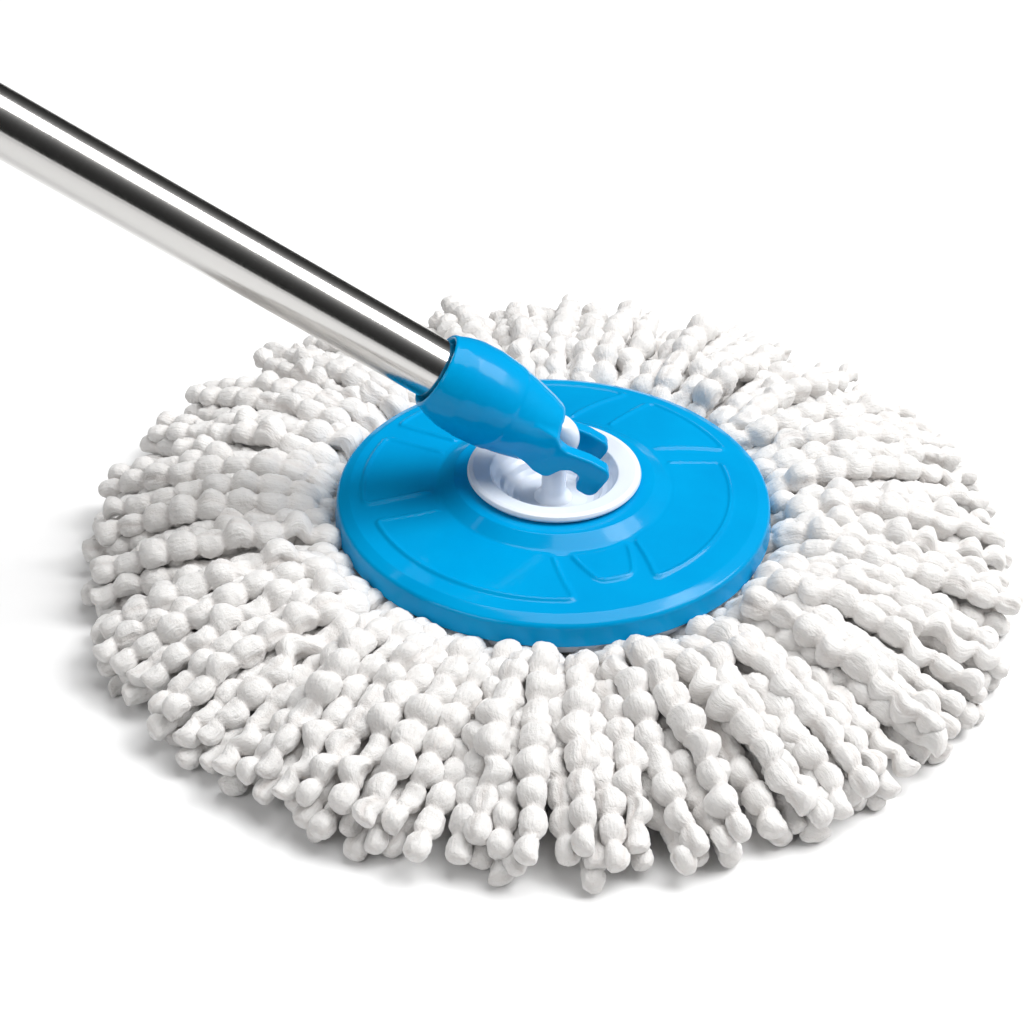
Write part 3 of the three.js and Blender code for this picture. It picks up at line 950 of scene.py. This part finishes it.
def looseBunches(rng, beads):
    # the beads' centres and radii, in loose bunches along a drooping line
    clusters, strands, pitch = yarnShape["clusters"], yarnShape["strands"], yarnShape["pitch"]
    shape = (clusters, strands, beads)
    along = np.arange(beads)[None, None, :]
    spread = yarnShape["aimSpread"]
    aim = (np.arange(clusters) + rng.uniform(-spread, spread, clusters)) / clusters * 2 * math.pi
    aim = aim[:, None, None]
    stride = along * pitch * rng.uniform(*yarnShape["stride"], (clusters, strands, 1))
    spread = yarnShape["startSpread"]
    reach = yarnShape["start"] + stride + rng.uniform(-spread, spread, (clusters, strands, 1))
    line = np.interp(reach, yarnShape["droopAt"], yarnShape["droop"])
    lane = np.arange(strands)[None, :, None]
    turn = rng.uniform(0, fullTurn, (clusters, 1, 1))
    turn = turn + rng.normal(0, yarnShape["twist"], (clusters, 1, 1)) * along + lane * yarnShape["laneTurn"]
    out = np.sqrt((lane + 0.5) / strands) * np.interp(reach, yarnShape["fanAt"], yarnShape["fan"])
    sway = np.cumsum(rng.normal(0, yarnShape["sway"], (clusters, 1, beads)), axis=2)
    drift = np.cumsum(rng.normal(0, yarnShape["drift"], shape), axis=2)
    across = yarnShape["halfWidth"] * out * np.cos(turn) + drift + sway
    height = line + yarnShape["halfHeight"] * out * np.sin(turn) + rng.normal(0, yarnShape["rise"], shape)
    x = reach * np.cos(aim) - across * np.sin(aim)
    y = reach * np.sin(aim) + across * np.cos(aim)
    centres = np.stack([x, y, height], -1).reshape(clusters, -1, 3)
    size = np.interp(along, [0, 1, 3, beads - 4, beads - 1], yarnShape["taper"])
    radius = yarnShape["bead"] * (size * rng.uniform(*yarnShape["beadSpread"], shape)).reshape(clusters, -1)
    return centres, radius


def straightened(centres, beads):
    # one step of straightening the chains and bringing their links back to the pitch
    chain = centres.reshape(-1, beads, 3)
    bend = np.zeros_like(chain)
    bend[:, 1:-1] = (chain[:, 2:] + chain[:, :-2]) / 2 - chain[:, 1:-1]
    chain = chain + yarnShape["straighten"] * bend
    link = np.diff(chain, axis=1)
    length = np.linalg.norm(link, axis=2, keepdims=True)
    fix = (length - yarnShape["pitch"]) / length * link * yarnShape["pull"]
    chain[:, 1:-1] += fix[:, 1:] - fix[:, :-1]
    chain[:, -1] -= fix[:, -1]
    return chain.reshape(centres.shape)


def keptClear(centres, radius):
    # beads stay above the floor and below the plate
    ground, rim = floorHeight / mm, plateRadius / mm
    centres[..., 2] = np.maximum(centres[..., 2], ground + radius * 0.9)
    reach = np.hypot(centres[..., 0], centres[..., 1])
    under = reach < rim + radius * 0.7
    roof = np.where(reach < rim - 2, -0.2, skirtBottom / mm - 0.2) - radius
    lowered = np.minimum(centres[..., 2], np.maximum(roof, ground + radius * 0.8))
    centres[..., 2] = np.where(under, lowered, centres[..., 2])
    return centres


def settleStrands():
    # beads of neighbouring bunches are pushed apart until they only touch
    rng = np.random.default_rng(yarnShape["seed"])
    strands = yarnShape["strands"]
    beads = int(round((yarnShape["end"] - yarnShape["start"]) / yarnShape["pitch"])) + 1
    centres, radius = looseBunches(rng, beads)
    target = centres.copy()
    strand = np.repeat(np.arange(strands), beads)
    place = np.tile(np.arange(beads), strands)
    free = (place > 0)[None, :, None]
    own = (strand[:, None] == strand[None, :]) & (np.abs(place[:, None] - place[None, :]) < 2)
    none = np.zeros_like(own)
    near = np.concatenate([none, none, own, none, none], axis=1)[None]
    shifts = (-2, -1, 0, 1, 2)
    radiusAround = np.concatenate([np.roll(radius, k, 0) for k in shifts], axis=1)
    touch = yarnShape["touch"] * (radius[:, :, None] + radiusAround[:, None])
    for _ in range(yarnShape["rounds"]):
        around = np.concatenate([np.roll(centres, k, 0) for k in shifts], axis=1)
        gap = centres[:, :, None] - around[:, None]
        distance = np.sqrt((gap ** 2).sum(-1)) + 1e-6
        push = np.where(near, 0, np.maximum(touch - distance, 0))
        move = ((push / distance)[..., None] * gap).sum(axis=2) * yarnShape["push"]
        centres = centres + np.clip(move, -yarnShape["mostPush"], yarnShape["mostPush"]) * free
        centres = centres + yarnShape["homing"] * (target - centres)
        centres = keptClear(straightened(centres, beads), radius)
    return centres.reshape(-1, beads, 3), radius.reshape(-1, beads)


def splineThrough(points, steps):
    # Catmull-Rom through the points, steps samples per span
    before = 2 * points[:, :1] - points[:, 1:2]
    after = 2 * points[:, -1:] - points[:, -2:-1]
    padded = np.concatenate([before, points, after], axis=1)
    s = np.arange(steps)[None, None, :, None] / steps
    a, b, c, d = (padded[:, i:i + points.shape[1] - 1, None] for i in range(4))
    square, cube = 2 * a - 5 * b + 4 * c - d, 3 * b - a - 3 * c + d
    curve = 0.5 * (2 * b + (c - a) * s + square * s ** 2 + cube * s ** 3)
    curve = curve.reshape(points.shape[0], -1, points.shape[2])
    return np.concatenate([curve, points[:, -1:]], axis=1)


def strandPath(centres):
    # the line through each strand's beads, carried past the last bead, with its two directions across
    steps = yarnShape["ringsPerBead"]
    beads = centres.shape[1]
    tail = centres[:, -1:] + (centres[:, -1:] - centres[:, -2:-1]) * 0.9
    path = splineThrough(np.concatenate([centres, tail], axis=1), steps)
    path = path[:, :(beads - 1) * steps + int(steps * yarnShape["beadReach"]) + 1]
    tangent = np.gradient(path, axis=1)
    tangent /= np.linalg.norm(tangent, axis=2, keepdims=True)
    sideways = np.cross(np.array([0, 0, 1.0]), tangent)
    sideways /= np.linalg.norm(sideways, axis=2, keepdims=True)
    return path, sideways, np.cross(tangent, sideways)


def wrapped(angle):
    return (angle + math.pi) % fullTurn - math.pi


def strandSurface(centres, radii, rng):
    # each strand is a tube along the beads' line: radius = bead * sqrt(1 - |d / reach|^power) above a thin
    # waist, where d is the distance to the nearest bead in pitches; creases and lumps change it all round
    steps, sides = yarnShape["ringsPerBead"], yarnShape["sides"]
    strands, beads = centres.shape[:2]
    path, sideways, normal = strandPath(centres)
    rows = path.shape[1]
    phase = np.arange(rows) / steps
    nearest = np.clip(np.round(phase).astype(int), 0, beads - 1)
    offset = phase - nearest
    fall = (np.abs(offset) / yarnShape["beadReach"]) ** yarnShape["beadPower"]
    swell = np.sqrt(np.clip(1 - fall, 0, 1))
    waist = np.where(phase > beads - 1, 0.0, yarnShape["waist"])
    swell = waist + (1 - waist) * swell
    size = radii[:, nearest] * swell[None, :]
    angle = np.linspace(0, fullTurn, sides, endpoint=False)
    crease = np.cumsum(rng.normal(0, 0.8, (strands, beads)), axis=1) + rng.uniform(0, fullTurn, (strands, 1))
    mostFirst, mostSecond = yarnShape["creaseDepth"]
    first = rng.uniform(0.05, mostFirst, (strands, beads))[:, nearest][:, :, None]
    second = rng.uniform(0.0, mostSecond, (strands, beads))[:, nearest][:, :, None]
    crease = crease[:, nearest][:, :, None] + 0.5 * offset[None, :, None]
    turn = wrapped(angle[None, None, :] - crease)
    opposite = wrapped(angle[None, None, :] - crease - yarnShape["creaseGap"])
    fade = np.cos(2.4 * offset)[None, :, None]
    width = yarnShape["creaseWidth"]
    deep = fade * first * np.exp(-(turn / width) ** 2) + fade * second * np.exp(-(opposite / width) ** 2)
    wave = rng.uniform(0, fullTurn, (2, strands, beads))[:, :, nearest][..., None]
    lump = 0.035 * np.cos(3 * angle + wave[0])
    lump = lump + 0.02 * np.cos(5 * angle + wave[1] + 6 * offset[None, :, None])
    lump = lump + rng.normal(0, yarnShape["grain"], (strands, rows, sides))
    bulge = size[:, :, None] * (1 - deep + lump)
    shift = rng.normal(0, yarnShape["wander"], (strands, beads, 2))[:, nearest]
    shift = shift * np.cos(math.pi * offset)[None, :, None]
    ring = sideways[:, :, None] * (np.cos(angle) * bulge)[..., None]
    ring = ring + normal[:, :, None] * (np.sin(angle) * bulge)[..., None]
    ring = ring + (sideways * shift[..., :1] + normal * shift[..., 1:])[:, :, None]
    surface = path[:, :, None] + ring
    surface[..., 2] = np.maximum(surface[..., 2], floorHeight / mm + 0.05)
    distance = phase[None, :, None] * yarnShape["pitch"] + 37.0 * np.arange(strands)[:, None, None]
    fibre = np.broadcast_arrays(np.cos(angle) * size[:, :, None], np.sin(angle) * size[:, :, None], distance)
    # painted shade: darker in each waist between beads and in each crease
    paintedShade = (1 - swell)[None, :, None] * 0.9 + deep * 2.4
    return surface, np.stack(fibre, -1), np.broadcast_to(paintedShade, surface.shape[:3])


def makeYarn():
    # strands that head the same way make one piece
    centres, radii = settleStrands()
    rng = np.random.default_rng(yarnShape["seed"] + 1)
    surface, fibre, paintedShade = strandSurface(centres, radii, rng)
    rows, sides = surface.shape[1:3]
    heading = np.arctan2(centres[:, -1, 1], centres[:, -1, 0]) % fullTurn
    pieces = yarnShape["pieces"]
    group = np.floor((heading / fullTurn * pieces + 0.5) % pieces).astype(int)
    single = np.concatenate([gridFaces(rows, sides), capFaces(rows, sides)])
    for index in range(pieces):
        chosen = np.flatnonzero(group == index)
        count = len(chosen)
        rings, fibres = surface[chosen], fibre[chosen]
        ends = np.stack([rings[:, 0].mean(axis=1), rings[:, -1].mean(axis=1)], axis=1)
        points = np.concatenate([rings.reshape(count, -1, 3), ends], axis=1).reshape(-1, 3)
        shift = (np.arange(count) * (rows * sides + 2))[:, None, None]
        faces = np.where(single >= 0, single + shift, -1).reshape(-1, 4)
        along = np.concatenate([fibres.reshape(count, -1, 3), fibres[:, [0, -1], 0]], axis=1)
        # the painted shade goes on the points as an attribute
        paintedShadeAmount = np.concatenate([paintedShade[chosen].reshape(count, -1), np.zeros((count, 2))], axis=1)
        name = f"yarnStrands{index + 1:02d}"
        mesh = fillMesh(name, points * mm, faces)
        attributes = ("fibre", "FLOAT_VECTOR", "vector", along), ("paintedShade", "FLOAT", "value", paintedShadeAmount)
        for label, kind, key, values in attributes:
            data = mesh.attributes.new(label, kind, "POINT").data
            data.foreach_set(key, values.ravel().astype(np.float32))
        piece = newObject(name, mesh, yarnCotton)
        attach(piece, "head")
        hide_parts(f"yarn_{index + 1:02d}")
    print("stage: yarn,", len(surface), "strands")


makeYarn()

bpy.context.view_layer.update()
